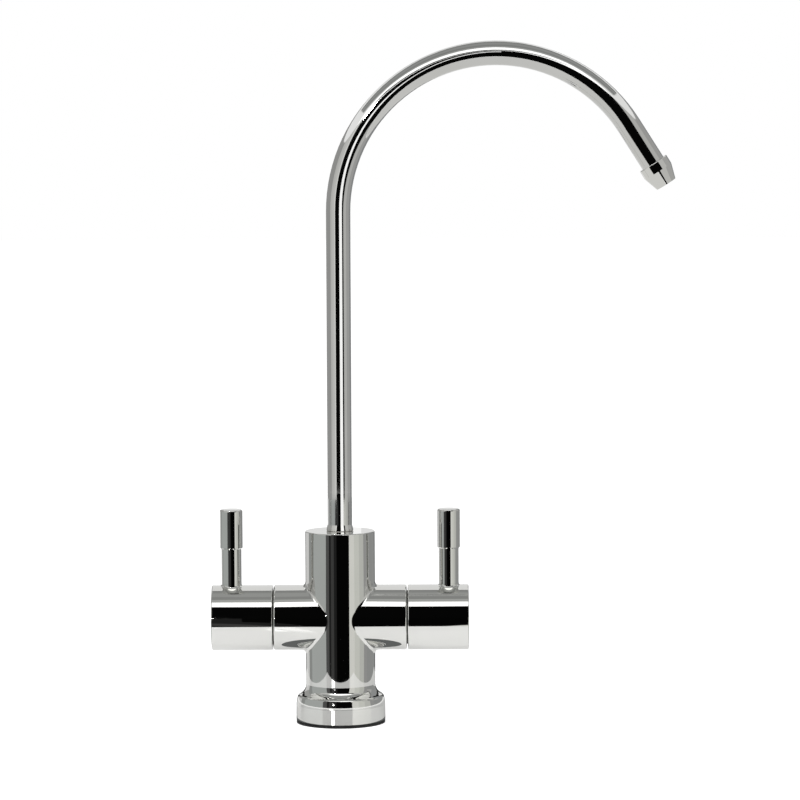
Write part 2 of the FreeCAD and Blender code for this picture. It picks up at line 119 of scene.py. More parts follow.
# The light tent, in millimetres from the spout's axis
TABLE_FRONT = 90
TABLE_SIDE = 80
TABLE_CARD_Z = 8.7
LOW_WALL_R = 300
LOW_WALL_TOP_Z = 70.5
SHELF_Z = 30
SHELF_RADII = (33, 118)
SHELF_START = -125
SHELF_END = 98
HIGH_WALL_R = 395
HIGH_WALL_BOTTOM_Z = 40
BEHIND_BOTTOM_Z = 70
CEILING_EDGE_Z = 437
CEILING_Z = 800
CEILING_HALF_WIDTH = 700
SOFTBOX_HALF_WIDTH = 400
FLOOR_HALF_WIDTH = 6000
FLOOR_Z = -0.03

# The ribbon of light along the spout. It ends at so many degrees of the bend. Its middle and half its width
# are degrees from the camera: at the foot, how much they lose, and over how many degrees of the bend
RIBBON_R = 9.5
RIBBON_FOOT_Z = 87.1
RIBBON_END = 92
RIBBON_STEP = 4
RIBBON_MIDDLE = (23, 32, 90)
RIBBON_HALF_WIDTH = (13, 10.5, 60)

# The small lamp, and the cards that stand for it: height, inner and outer radius, and strength
SMALL_LAMP_CENTRE = (-142, -352, 400)
SMALL_LAMP_HALF_WIDTH = 15
LAMP_START = -19.9
LAMP_END = -17.1
LAMP_CARDS = {
    "lamp_for_arms": (70, 235, 290, SMALL_LAMP),
    "lamp_for_base": (29, 98, 130, WEAK_LAMP),
}
# Its gleam on the table: the bar that mirrors it, inner and outer radius, from and to in degrees
GLEAM_Z = 0.3
GLEAM_CARDS = {
    "gleam_by_base": (BASE_R, 24, 104, -23.2, -15.2),
    "gleam_by_column": (COLUMN_R, 130, 215, -28.6, -19.4),
}
# A dark ring card on the table round the base that only the chrome sees: a painted shadow of the tap on the
# table
SHADE_Z = 0.15
SHADE_RADII = (20.4, 27.6)

# What the chrome mirrors below and above the valves: from and to in degrees from the camera, and the colour
LOW_ZONES = [
    (-180, -166, "#bebebe"), (-166, -156, "#1a1a1a"), (-156, -125, "#bebebe"), (-125, -108, "#838584"),
    (-108, -47, "#999c9b"), (-47, -42, "#4a4a4a"), (-42, -36, "#484848"), (-36, -30, "#1e1e1e"),
    (-30, -20, "#373737"), (-20, -11, "#1c1c1c"), (-11, 30.5, "#040404"), (30.5, 48, "#c5c5c1"),
    (48, 66, "#b9bab5"), (66, 84, "#acada9"), (84, 98, "#8a8a8a"), (98, 156, "#858686"),
    (156, 166, "#1a1a1a"), (166, 180, "#858686"),
]
HIGH_ZONES = [
    (-158, -150, "#1a1a1a"), (-150, -79, "#929291"), (-79, -60, "#b4b4b2"), (-60, -38, "#bcbcba"),
    (-38, -29, "#d4d4d2"), (-29, 50, "#050505"), (50, 80, "#b0b0ae"), (80, 120, "#9c9c9b"),
    (120, 150, "#868788"), (150, 158, "#1a1a1a"),
]
BEHIND_ZONES = {"behind_left": (-180, -158), "behind_right": (158, 180)}
# What only the bend mirrors, from above: radius and height of the inner and of the outer edge, from and to in
# degrees, and the colour seen. The second is the dark edge under the softbox
BEND_CARDS = {
    "table_for_bend": ((12, 103.5), (339, 68.5), (-180, 180), "#c4c4c2"),
    "edge_for_bend": ((188, 368.5), (394, 512.8), (-29, 50), "#050505"),
}
# The ceiling from back to front: back and front edge, and the colour seen
CEILING_STRIPS = [
    (417, 345, "#626362"), (345, 180, "#808180"), (180, -60, "#8c8d8c"), (-60, -230, "#7f807f"),
    (-230, -417, "#9c9d9c"),
]


def linear(hex_colour):
    """The linear RGBA of an sRGB colour written as #rrggbb."""
    parts = [int(hex_colour[i:i + 2], 16) / 255 for i in (1, 3, 5)]
    return [p / 12.92 if p <= 0.04045 else ((p + 0.055) / 1.055) ** 2.4 for p in parts] + [1.0]


def per_metre(size):
    """A noise scale that makes lumps about this many millimetres wide."""
    return 1 / (size * MM)


def add_node(tree, kind, settings=None, inputs=None, links=None, stops=()):
    """One node with its settings, socket values and links, and a ramp's stops as positions and hex colours.

    A link is given as input: socket, or as input: node, which stands for that node's first output.
    """
    node = tree.nodes.new(kind)
    for name, value in (settings or {}).items():
        setattr(node, name, value)
    for name, value in (inputs or {}).items():
        node.inputs[name].default_value = value
    for name, source in (links or {}).items():
        socket = source.outputs[0] if isinstance(source, bpy.types.Node) else source
        tree.links.new(socket, node.inputs[name])
    for i, (position, colour) in enumerate(stops):
        if i == len(node.color_ramp.elements):
            node.color_ramp.elements.new(1.0)
        node.color_ramp.elements[i].position = position
        node.color_ramp.elements[i].color = linear(colour)
    return node


def new_material(name):
    """An empty node material, its tree, and the place on the object that its patterns follow."""
    material = bpy.data.materials.new(name)
    material.use_nodes = True
    tree = material.node_tree
    tree.nodes.clear()
    return material, tree, add_node(tree, "ShaderNodeTexCoord").outputs["Object"]


def place_camera():
    data = bpy.data.cameras.new("camera")
    data.lens = CAMERA_LENS_MM
    data.sensor_width = SENSOR_WIDTH_MM
    data.clip_start = 0.01
    data.clip_end = 20
    camera = bpy.data.objects.new("camera", data)
    bpy.context.scene.collection.objects.link(camera)
    tilt = Matrix.Rotation(math.radians(90 - CAMERA_DOWN_DEGREES), 4, "X")
    roll = Matrix.Rotation(math.radians(CAMERA_ROLL_DEGREES), 4, "Z")
    camera.matrix_world = Matrix.Translation(CAMERA_PLACE) @ tilt @ roll
    bpy.context.scene.camera = camera


# Materials


def distance_from_axis(tree, place, centre, across):
    """Metres from an axis through a centre in millimetres. Across has a 1 for each direction off the axis."""
    offset = add_node(tree, "ShaderNodeVectorMath", {"operation": "SUBTRACT"},
                      {1: [c * MM for c in centre]}, {0: place})
    flat = add_node(tree, "ShaderNodeVectorMath", {"operation": "MULTIPLY"}, {1: across}, {0: offset})
    return add_node(tree, "ShaderNodeVectorMath", {"operation": "LENGTH"}, links={0: flat}).outputs["Value"]


def tool_rings(tree, along, from_axis):
    """The rings that a cutting tool leaves round an axis and along it, from -1 to 1."""
    feed = add_node(tree, "ShaderNodeMath", {"operation": "ADD"}, links={0: along, 1: from_axis})
    turns = add_node(tree, "ShaderNodeMath", {"operation": "MULTIPLY"},
                     {1: math.tau / (TOOL_MARK * MM)}, {0: feed})
    return add_node(tree, "ShaderNodeMath", {"operation": "SINE"}, links={0: turns})


def polished_plate(tree, place):
    """The tint, haze and ripple of nickel-chrome plate on a part that was polished by hand before plating."""
    drift = add_node(tree, "ShaderNodeTexNoise",
                     inputs={"Scale": per_metre(PLATE_PATCH), "Detail": 1.0, "Roughness": 0.6},
                     links={"Vector": place})
    tint = add_node(tree, "ShaderNodeValToRGB", links={"Fac": drift},
                    stops=[(0.3, "#e5e5e2"), (0.7, "#e9e9e6")])
    mopped = add_node(tree, "ShaderNodeTexNoise",
                      inputs={"Scale": per_metre(POLISH_PATCH), "Detail": 3.0, "Roughness": 0.6},
                      links={"Vector": place})
    haze = add_node(tree, "ShaderNodeMapRange",
                    inputs={"From Min": 0.35, "From Max": 0.75, "To Min": 0.02, "To Max": 0.05},
                    links={"Value": mopped})
    waver = add_node(tree, "ShaderNodeTexNoise",
                     inputs={"Scale": per_metre(RIPPLE_WIDTH), "Detail": 1.0, "Roughness": 0.6},
                     links={"Vector": place})
    ripple = add_node(tree, "ShaderNodeBump",
                      inputs={"Distance": RIPPLE_HEIGHT * MM}, links={"Height": waver})
    return tint, haze, ripple


def chrome_plate():
    """Bright nickel-chrome over brass, polished by hand before plating.

    The eye gets a hard mirror whose edges waver by a hair, with a faint haze where the mop went over it.
    """
    material, tree, place = new_material("bright_chrome_plate")
    tint, haze, ripple = polished_plate(tree, place)
    chrome = add_node(tree, "ShaderNodeBsdfPrincipled", inputs={"Metallic": 1.0},
                      links={"Base Color": tint, "Roughness": haze, "Normal": ripple})
    add_node(tree, "ShaderNodeOutputMaterial", links={"Surface": chrome})
    return material


def plated_casting():
    """The same chrome plate on the body's outside. It thins out over the machined bores and the underside.

    The eye gets warm, satin brass with tool marks in the ports, and a thin smoky wash of plate at their
    mouths.
    """
    material, tree, place = new_material("chrome_plated_brass_casting")
    tint, haze, ripple = polished_plate(tree, place)
    z = add_node(tree, "ShaderNodeSeparateXYZ", links={"Vector": place}).outputs["Z"]
    from_spout_axis = distance_from_axis(tree, place, (0, 0, 0), (1, 1, 0))
    from_valve_axis = distance_from_axis(tree, place, (0, 0, VALVE_AXIS_Z), (0, 1, 1))

    # A machined zone is where its measure is below its limit. The ports lie where two are
    limits = {"underside": (z, UNDERSIDE_Z), "chamber": (from_valve_axis, CHAMBER_R),
              "socket": (from_spout_axis, SOCKET_R), "by_ports": (from_spout_axis, PORTS_R),
              "under_ports_top": (z, PORTS_TOP_Z)}
    zones = {name: add_node(tree, "ShaderNodeMath", {"operation": "LESS_THAN"}, {1: limit * MM}, {0: measure})
             for name, (measure, limit) in limits.items()}
    machined = add_node(tree, "ShaderNodeMath", {"operation": "MULTIPLY"},
                        links={0: zones["by_ports"], 1: zones["under_ports_top"]})
    for name in ("underside", "chamber", "socket"):
        machined = add_node(tree, "ShaderNodeMath", {"operation": "MAXIMUM"},
                            links={0: machined, 1: zones[name]})
    cloud = add_node(tree, "ShaderNodeTexNoise",
                     inputs={"Scale": per_metre(WASH_PATCH), "Detail": 3.0, "Roughness": 0.6},
                     links={"Vector": place})
    wash = add_node(tree, "ShaderNodeMapRange",
                    inputs={"From Min": 0.4, "From Max": 0.7, "To Min": 0.55, "To Max": 1.0},
                    links={"Value": cloud})
    bare = add_node(tree, "ShaderNodeMath", {"operation": "MULTIPLY"}, links={0: machined, 1: wash})

    grain = add_node(tree, "ShaderNodeTexNoise",
                     inputs={"Scale": per_metre(BRASS_GRAIN), "Detail": 3.0, "Roughness": 0.6},
                     links={"Vector": place})
    brass = add_node(tree, "ShaderNodeValToRGB", links={"Fac": grain},
                     stops=[(0.3, "#b8934a"), (0.7, "#d3b065")])
    colour = add_node(tree, "ShaderNodeMix", {"data_type": "RGBA"},
                      links={0: bare, 6: tint, 7: brass}).outputs[2]
    level = add_node(tree, "ShaderNodeMath", {"operation": "MULTIPLY_ADD"}, {1: 0.26}, {0: bare, 2: haze})
    cut = add_node(tree, "ShaderNodeMath", {"operation": "MULTIPLY"},
                   links={0: tool_rings(tree, z, from_spout_axis), 1: bare})
    marks = add_node(tree, "ShaderNodeBump", inputs={"Distance": CASTING_MARK_HEIGHT * MM},
                     links={"Height": cut, "Normal": ripple})
    surface = add_node(tree, "ShaderNodeBsdfPrincipled", inputs={"Metallic": 1.0},
                       links={"Base Color": colour, "Roughness": level, "Normal": marks})
    add_node(tree, "ShaderNodeOutputMaterial", links={"Surface": surface})
    return material


def drawn_tube_chrome():
    """Chrome over drawn brass tube, bent after drawing and polished along its length.

    The eye gets a mirror with hair-fine lines of haze that follow the tube up and round its bend.
    """
    material, tree, place = new_material("chrome_plated_drawn_tube")
    parts = add_node(tree, "ShaderNodeSeparateXYZ", links={"Vector": place})
    # Below the bend's centre the tube is straight, so there only the distance along x counts
    held = add_node(tree, "ShaderNodeVectorMath", {"operation": "MAXIMUM"},
                    {1: (-1.0, -1.0, BEND_CENTRE_Z * MM)}, {0: place})
    from_bend_axis = distance_from_axis(tree, held, (BEND_CENTRE_X, 0, BEND_CENTRE_Z), (1, 0, 1))
    along = add_node(tree, "ShaderNodeMath", {"operation": "MULTIPLY"}, {1: 0.02}, {0: parts.outputs["Z"]})
    drawn = add_node(tree, "ShaderNodeCombineXYZ",
                     links={"X": from_bend_axis, "Y": parts.outputs["Y"], "Z": along})
    lines = add_node(tree, "ShaderNodeTexNoise",
                     inputs={"Scale": per_metre(DRAWN_LINE), "Detail": 2.0, "Roughness": 0.6},
                     links={"Vector": drawn})
    haze = add_node(tree, "ShaderNodeMapRange",
                    inputs={"From Min": 0.3, "From Max": 0.7, "To Min": 0.03, "To Max": 0.075},
                    links={"Value": lines})
    drift = add_node(tree, "ShaderNodeTexNoise",
                     inputs={"Scale": per_metre(PLATE_PATCH), "Detail": 1.0, "Roughness": 0.6},
                     links={"Vector": place})
    tint = add_node(tree, "ShaderNodeValToRGB", links={"Fac": drift},
                    stops=[(0.3, "#dadad8"), (0.7, "#dfdfde")])
    waver = add_node(tree, "ShaderNodeTexNoise",
                     inputs={"Scale": per_metre(DRAWN_RIPPLE_WIDTH), "Detail": 1.0, "Roughness": 0.6},
                     links={"Vector": drawn})
    ripple = add_node(tree, "ShaderNodeBump",
                      inputs={"Distance": RIPPLE_HEIGHT / 3 * MM}, links={"Height": waver})
    chrome = add_node(tree, "ShaderNodeBsdfPrincipled", inputs={"Metallic": 1.0},
                      links={"Base Color": tint, "Roughness": haze, "Normal": ripple})
    add_node(tree, "ShaderNodeOutputMaterial", links={"Surface": chrome})
    return material


def turned_brass():
    """Free-cutting brass off the lathe, left bare inside the valve.

    The eye gets a warm satin metal with fine rings round the valve's axis, which catch the light as lines.
    """
    material, tree, place = new_material("turned_free_cutting_brass")
    x = add_node(tree, "ShaderNodeSeparateXYZ", links={"Vector": place}).outputs["X"]
    rings = tool_rings(tree, x, distance_from_axis(tree, place, (0, 0, VALVE_AXIS_Z), (0, 1, 1)))
    tarnish = add_node(tree, "ShaderNodeTexNoise",
                       inputs={"Scale": per_metre(TARNISH_PATCH), "Detail": 3.0, "Roughness": 0.6},
                       links={"Vector": place})
    colour = add_node(tree, "ShaderNodeValToRGB", links={"Fac": tarnish},
                      stops=[(0.3, "#b98f45"), (0.5, "#cba65a"), (0.75, "#d8b96f")])
    dull = add_node(tree, "ShaderNodeMapRange",
                    inputs={"From Min": 0.3, "From Max": 0.7, "To Min": 0.23, "To Max": 0.35},
                    links={"Value": tarnish})
    level = add_node(tree, "ShaderNodeMath", {"operation": "MULTIPLY_ADD"}, {1: 0.03}, {0: rings, 2: dull})
    marks = add_node(tree, "ShaderNodeBump",
                     inputs={"Distance": TOOL_MARK_HEIGHT * MM}, links={"Height": rings})
    brass = add_node(tree, "ShaderNodeBsdfPrincipled", inputs={"Metallic": 1.0},
                     links={"Base Color": colour, "Roughness": level, "Normal": marks})
    add_node(tree, "ShaderNodeOutputMaterial", links={"Surface": brass})
    return material


def moulded_rubber(name, dark, light, most_gloss, least_gloss, grain_width):
    """Black rubber from a mould: a soft skin with a fine grain and a pale trace of bloom.

    The eye gets a nearly matt black, or on the greased seals a dull gloss. Both glosses are given as
    roughness.
    """
    material, tree, place = new_material(name)
    bloom = add_node(tree, "ShaderNodeTexNoise",
                     inputs={"Scale": per_metre(BLOOM_PATCH), "Detail": 3.0, "Roughness": 0.6},
                     links={"Vector": place})
    colour = add_node(tree, "ShaderNodeValToRGB", links={"Fac": bloom}, stops=[(0.35, dark), (0.75, light)])
    level = add_node(tree, "ShaderNodeMapRange",
                     inputs={"From Min": 0.3, "From Max": 0.7, "To Min": least_gloss, "To Max": most_gloss},
                     links={"Value": bloom})
    grain = add_node(tree, "ShaderNodeTexNoise",
                     inputs={"Scale": per_metre(grain_width), "Detail": 2.0, "Roughness": 0.6},
                     links={"Vector": place})
    skin = add_node(tree, "ShaderNodeBump",
                    inputs={"Distance": RUBBER_GRAIN_HEIGHT * MM}, links={"Height": grain})
    rubber = add_node(tree, "ShaderNodeBsdfPrincipled", inputs={"IOR": 1.52},
                      links={"Base Color": colour, "Roughness": level, "Normal": skin})
    add_node(tree, "ShaderNodeOutputMaterial", links={"Surface": rubber})
    return material


def machined_acetal():
    """White acetal turned from rod: waxy, a little translucent, with tool rings round the spout's axis."""
    material, tree, place = new_material("machined_acetal")
    z = add_node(tree, "ShaderNodeSeparateXYZ", links={"Vector": place}).outputs["Z"]
    rings = tool_rings(tree, z, distance_from_axis(tree, place, (0, 0, 0), (1, 1, 0)))
    cloud = add_node(tree, "ShaderNodeTexNoise",
                     inputs={"Scale": per_metre(ACETAL_CLOUD), "Detail": 3.0, "Roughness": 0.6},
                     links={"Vector": place})
    colour = add_node(tree, "ShaderNodeValToRGB", links={"Fac": cloud},
                      stops=[(0.3, "#e6e4dd"), (0.7, "#efeee9")])
    level = add_node(tree, "ShaderNodeMapRange",
                     inputs={"From Min": -1.0, "From Max": 1.0, "To Min": 0.38, "To Max": 0.5},
                     links={"Value": rings})
    marks = add_node(tree, "ShaderNodeBump",
                     inputs={"Distance": TOOL_MARK_HEIGHT * MM}, links={"Height": rings})
    acetal = add_node(tree, "ShaderNodeBsdfPrincipled",
                      inputs={"IOR": 1.48, "Subsurface Weight": 0.1, "Subsurface Scale": 0.5 * MM},
                      links={"Base Color": colour, "Roughness": level, "Normal": marks})
    add_node(tree, "ShaderNodeOutputMaterial", links={"Surface": acetal})
    return material


def vulcanised_fibre():
    """Black vulcanised fibre sheet, punched into washers: dry, matt, with paler fibres lying in the sheet."""
    material, tree, place = new_material("vulcanised_fibre")
    lying = add_node(tree, "ShaderNodeVectorMath", {"operation": "MULTIPLY"},
                     {1: (4.0, 1.0, 0.35)}, {0: place})
    fibres = add_node(tree, "ShaderNodeTexNoise",
                      inputs={"Scale": per_metre(FIBRE_WIDTH), "Detail": 4.0, "Roughness": 0.6},
                      links={"Vector": lying})
    colour = add_node(tree, "ShaderNodeValToRGB", links={"Fac": fibres},
                      stops=[(0.3, "#242322"), (0.5, "#33312f"), (0.72, "#4a4743")])
    level = add_node(tree, "ShaderNodeMapRange",
                     inputs={"From Min": 0.3, "From Max": 0.7, "To Min": 0.8, "To Max": 0.62},
                     links={"Value": fibres})
    nap = add_node(tree, "ShaderNodeBump",
                   inputs={"Distance": FIBRE_NAP_HEIGHT * MM}, links={"Height": fibres})
    sheet = add_node(tree, "ShaderNodeBsdfPrincipled", inputs={"IOR": 1.5},
                     links={"Base Color": colour, "Roughness": level, "Normal": nap})
    add_node(tree, "ShaderNodeOutputMaterial", links={"Surface": sheet})
    return material


def lapped_alumina():
    """Fired alumina, lapped flat: a hard cream-white ceramic with a dull gloss and very fine specks."""
    material, tree, place = new_material("lapped_alumina")
    specks = add_node(tree, "ShaderNodeTexNoise",
                      inputs={"Scale": per_metre(ALUMINA_SPECK), "Detail": 4.0, "Roughness": 0.7},
                      links={"Vector": place})
    colour = add_node(tree, "ShaderNodeValToRGB", links={"Fac": specks},
                      stops=[(0.25, "#e3ddce"), (0.45, "#efece3"), (0.8, "#f5f3ed")])
    level = add_node(tree, "ShaderNodeMapRange",
                     inputs={"From Min": 0.3, "From Max": 0.7, "To Min": 0.16, "To Max": 0.28},
                     links={"Value": specks})
    pores = add_node(tree, "ShaderNodeBump",
                     inputs={"Distance": ALUMINA_PORE_DEPTH * MM}, links={"Height": specks})
    ceramic = add_node(tree, "ShaderNodeBsdfPrincipled", inputs={"IOR": 1.76},
                       links={"Base Color": colour, "Roughness": level, "Normal": pores})
    add_node(tree, "ShaderNodeOutputMaterial", links={"Surface": ceramic})
    return material


def spring_steel():
    """Blued and oiled spring steel strip: grey with a straw to violet cast and a slight oily sheen."""
    material, tree, place = new_material("blued_spring_steel")
    oxide = add_node(tree, "ShaderNodeTexNoise",
                     inputs={"Scale": per_metre(OXIDE_PATCH), "Detail": 4.0, "Roughness": 0.6},
                     links={"Vector": place})
    colour = add_node(tree, "ShaderNodeValToRGB", links={"Fac": oxide},
                      stops=[(0.3, "#6a6a74"), (0.5, "#8b8a8e"), (0.75, "#a39d92")])
    level = add_node(tree, "ShaderNodeMapRange",
                     inputs={"From Min": 0.3, "From Max": 0.7, "To Min": 0.26, "To Max": 0.4},
                     links={"Value": oxide})
    skin = add_node(tree, "ShaderNodeBump",
                    inputs={"Distance": OXIDE_SKIN_HEIGHT * MM}, links={"Height": oxide})
    steel = add_node(tree, "ShaderNodeBsdfPrincipled", inputs={"Metallic": 1.0},
                     links={"Base Color": colour, "Roughness": level, "Normal": skin})
    add_node(tree, "ShaderNodeOutputMaterial", links={"Surface": steel})
    return material


def make_finishes():
    """Every finish by the record's slot."""
    return {
        "chrome": chrome_plate(),
        "tube_chrome": drawn_tube_chrome(),
        "rubber": moulded_rubber("moulded_epdm_rubber", "#151516", "#232324", 0.5, 0.7, 0.35),
        "seal_rubber": moulded_rubber("greased_nitrile_rubber", "#101011", "#1b1b1d", 0.22, 0.42, 0.2),
        "acetal": machined_acetal(),
        "fibre": vulcanised_fibre(),
        "brass": turned_brass(),
        "alumina": lapped_alumina(),
        "spring_steel": spring_steel(),
    }


def dress_nodes(finishes):
    """The finish of every CAD piece. The body casting has its own, because its bores are bare."""
    casting = plated_casting()
    slots = {part["node"]: part["material_slot"] for part in frame["record"]["subparts"]}
    for name, node in frame["nodes"].items():
        node.data.materials.clear()
        node.data.materials.append(casting if name == "body_casting" else finishes[slots[name]])


# Threads, cut into the casting from below


def thread_ridge(name, finish, x, bore, depth):
    """The winding crest of a tapped hole, which stands in from the bore that the casting has."""
    steps_per_turn, run_out_turns, least_height, sunk = 40, 0.6, 0.02, 0.01
    bottom, top = HOLES_MOUTH_Z + THREAD_LEAD_IN, HOLES_MOUTH_Z + depth
    turns = (top - bottom) / THREAD_PITCH
    crest, foot = THREAD_CREST_SHARE * THREAD_PITCH, THREAD_FOOT_SHARE * THREAD_PITCH
    flat = THREAD_FLAT_SHARE * THREAD_PITCH
    sunk_r = bore / 2 + sunk
    form = bmesh.new()
    rings = []
    for step in range(round(turns * steps_per_turn) + 1):
        turned = step / steps_per_turn
        angle, z = math.tau * turned, bottom + THREAD_PITCH * turned
        fade = max(least_height, min(1.0, turned / run_out_turns, (turns - turned) / run_out_turns))
        crest_r = bore / 2 - crest * fade
        profile = [(sunk_r, -foot * fade), (crest_r, -flat), (crest_r, flat), (sunk_r, foot * fade)]
        rings.append([form.verts.new(((x + r * math.cos(angle)) * MM, r * math.sin(angle) * MM,
                                      (z + rise) * MM))
                      for r, rise in profile])
    for low, high in zip(rings, rings[1:]):
        for i in range(4):
            form.faces.new((low[i], low[(i + 1) % 4], high[(i + 1) % 4], high[i]))
    form.faces.new(rings[0][::-1])
    form.faces.new(rings[-1])
    bmesh.ops.recalc_face_normals(form, faces=form.faces[:])
    mesh = bpy.data.meshes.new(name)
    form.to_mesh(mesh)
    form.free()
    mesh.materials.append(finish)
    piece = bpy.data.objects.new(name, mesh)
    bpy.context.scene.collection.objects.link(piece)
    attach(piece, "tap_body")


def cut_threads(finish):
    thread_ridge("left_inlet_thread", finish, -PORT_X, PORT_DIA, PORT_THREAD_DEPTH)
    thread_ridge("right_inlet_thread", finish, PORT_X, PORT_DIA, PORT_THREAD_DEPTH)
    thread_ridge("fixing_stud_thread", finish, 0.0, STUD_HOLE_DIA, STUD_THREAD_DEPTH)


# Studio


def card_material(colour, strength, one_sided):
    """A lit card. A one-sided one is clear from behind."""
    material, tree, _ = new_material("card")
    surface = add_node(tree, "ShaderNodeEmission", inputs={"Color": linear(colour), "Strength": strength})
    if one_sided:
        behind = add_node(tree, "ShaderNodeNewGeometry").outputs["Backfacing"]
        clear = add_node(tree, "ShaderNodeBsdfTransparent")
        surface = add_node(tree, "ShaderNodeMixShader", links={0: behind, 1: surface, 2: clear})
    add_node(tree, "ShaderNodeOutputMaterial", links={"Surface": surface})
    return material


def gleam_material():
    """The lamp's gleam on a glossy table, which shows only to low, grazing looks from above."""
    material, tree, _ = new_material("lamp_gleam")
    edge_on = add_node(tree, "ShaderNodeFresnel", inputs={"IOR": 1.45})
    grazing = add_node(tree, "ShaderNodeMath", {"operation": "POWER"}, {1: 3.0}, {0: edge_on})
    clear = add_node(tree, "ShaderNodeBsdfTransparent")
    lamp = add_node(tree, "ShaderNodeEmission", inputs={"Color": linear("#ffffff"), "Strength": GLEAM})
    gleam = add_node(tree, "ShaderNodeMixShader", links={0: grazing, 1: clear, 2: lamp})
    add_node(tree, "ShaderNodeOutputMaterial", links={"Surface": gleam})
    return material


def only_in_reflections(obj):
    obj.visible_camera = False
    obj.visible_diffuse = False
    obj.visible_shadow = False
    obj.visible_transmission = False
    obj.visible_volume_scatter = False


def new_stage_mesh(name, points, faces, material):
    mesh = bpy.data.meshes.new(name)
    mesh.from_pydata(points, [], faces)
    mesh.materials.append(material)
    obj = bpy.data.objects.new(name, mesh)
    bpy.context.scene.collection.objects.link(obj)
    return obj


def seen_in(mirror_r, angle, reach, height):
    """Where the direction seen in a round chrome bar at an angle from the camera meets a card around the tap.

    The reach gives the card's distance for a point and a heading on the floor.
    """
    a, half = math.radians(angle), math.radians(angle / 2)
    start = Vector((mirror_r * math.sin(half), -mirror_r * math.cos(half), 0))
    heading = Vector((math.sin(a), -math.cos(a), 0))
    place = start + heading * reach(start, heading)
    return Vector((place.x, place.y, height)) * MM


def round_card(radius):
    """The reach to a card that runs in a circle round the tap."""
    def reach(start, heading):
        along = start.dot(heading)
        return -along + math.sqrt(along ** 2 + radius ** 2 - start.length_squared)
    return reach


def square_card(front, side):
    """The reach to a card that runs in a rectangle round the tap."""
    nearly_along_edge = 1e-6

    def reach(start, heading):
        return min((math.copysign(limit, part) - place) / part
                   for limit, part, place in ((side, heading.x, start.x), (front, heading.y, start.y))
                   if abs(part) > nearly_along_edge)
    return reach


def ring_card(name, mirror_r, near, far, start, end, material):
    """A card between two edges, each given as reach and height, and two directions as seen in the chrome."""
    degrees_per_step = 3
    steps = max(1, math.ceil(abs(end - start) / degrees_per_step))
    angles = [start + (end - start) * i / steps for i in range(steps + 1)]
    points = [seen_in(mirror_r, angle, *edge) for edge in (near, far) for angle in angles]
    count = len(angles)
    faces = [(i, i + 1, count + i + 1, count + i) for i in range(count - 1)]
    only_in_reflections(new_stage_mesh(name, points, faces, material))


def flat_card(name, corners, colour, strength):
    points = [Vector(corner) * MM for corner in corners]
    material = card_material(colour, strength, False)
    only_in_reflections(new_stage_mesh(name, points, [(0, 1, 2, 3)], material))


def upright_corners(left, right, y, bottom, top):
    return [(left, y, bottom), (right, y, bottom), (right, y, top), (left, y, top)]


def hang_low_cards():
    """Cards that the column, arms and base mirror: a table card, a wall, and a shelf for the base alone."""
    table_edge, wall = square_card(TABLE_FRONT, TABLE_SIDE), round_card(LOW_WALL_R)
    shelf_edges = [(round_card(radius), SHELF_Z) for radius in SHELF_RADII]
    table_near, table_far, wall_top = (table_edge, TABLE_CARD_Z), (wall, TABLE_CARD_Z), (wall, LOW_WALL_TOP_Z)
    for i, (start, end, colour) in enumerate(LOW_ZONES):
        name, card = "low_%02d_" % i, card_material(colour, SEEN_IN_CHROME, False)
        ring_card(name + "table", COLUMN_R, table_near, table_far, start, end, card)
        ring_card(name + "wall", COLUMN_R, table_far, wall_top, start, end, card)
        if SHELF_START <= start and end <= SHELF_END:
            ring_card(name + "shelf", COLUMN_R, *shelf_edges, start, end,
                      card_material(colour, SEEN_IN_CHROME, True))


def hang_high_cards():
    """Cards that the spout and the levers mirror, those that only the bend sees, and pale ones behind."""
    wall = round_card(HIGH_WALL_R)
    for i, (start, end, colour) in enumerate(HIGH_ZONES):
        ring_card("high_%02d" % i, TUBE_R, (wall, HIGH_WALL_BOTTOM_Z), (wall, CEILING_EDGE_Z), start, end,
                  card_material(colour, SEEN_IN_CHROME, False))
    # With the outer edge first these face up, so that only what is above them sees them
    for name, ((inner_r, inner_z), (outer_r, outer_z), (start, end), colour) in BEND_CARDS.items():
        ring_card(name, TUBE_R, (round_card(outer_r), outer_z), (round_card(inner_r), inner_z), start, end,
                  card_material(colour, SEEN_IN_CHROME, True))
    for name, (start, end) in BEHIND_ZONES.items():
        ring_card(name, TUBE_R, (wall, BEHIND_BOTTOM_Z), (wall, CEILING_Z), start, end,
                  card_material("#cfcfcf", SEEN_IN_CHROME, False))


def lessened(begin, loss, over, turned):
    """A value that loses so much over so many degrees of the bend, and then stays."""
    return begin - loss * min(1, turned / over)


def hang_ribbon():
    """A ribbon of light along the spout, which faces the tube. It narrows as it goes up and over the bend."""
    round_bend = [(turned, BEND_CENTRE_Z) for turned in range(0, RIBBON_END + 1, RIBBON_STEP)]
    points = []
    for turned, z in [(0, RIBBON_FOOT_Z)] + round_bend:
        cos, sin = math.cos(math.radians(turned)), math.sin(math.radians(turned))
        centre = Vector((BEND_CENTRE_X * (1 - cos), 0, z + BEND_CENTRE_X * sin)) * MM
        middle, half_width = lessened(*RIBBON_MIDDLE, turned), lessened(*RIBBON_HALF_WIDTH, turned)
        for angle in (middle - half_width, middle + half_width):
            aside = seen_in(TUBE_R, angle, round_card(RIBBON_R), 0)
            points.append(centre + Vector((aside.x * cos, aside.y, -aside.x * sin)))
    faces = [(i, i + 2, i + 3, i + 1) for i in range(0, len(points) - 2, 2)]
    material = card_material("#ffffff", SEEN_IN_CHROME, True)
    only_in_reflections(new_stage_mesh("ribbon", points, faces, material))


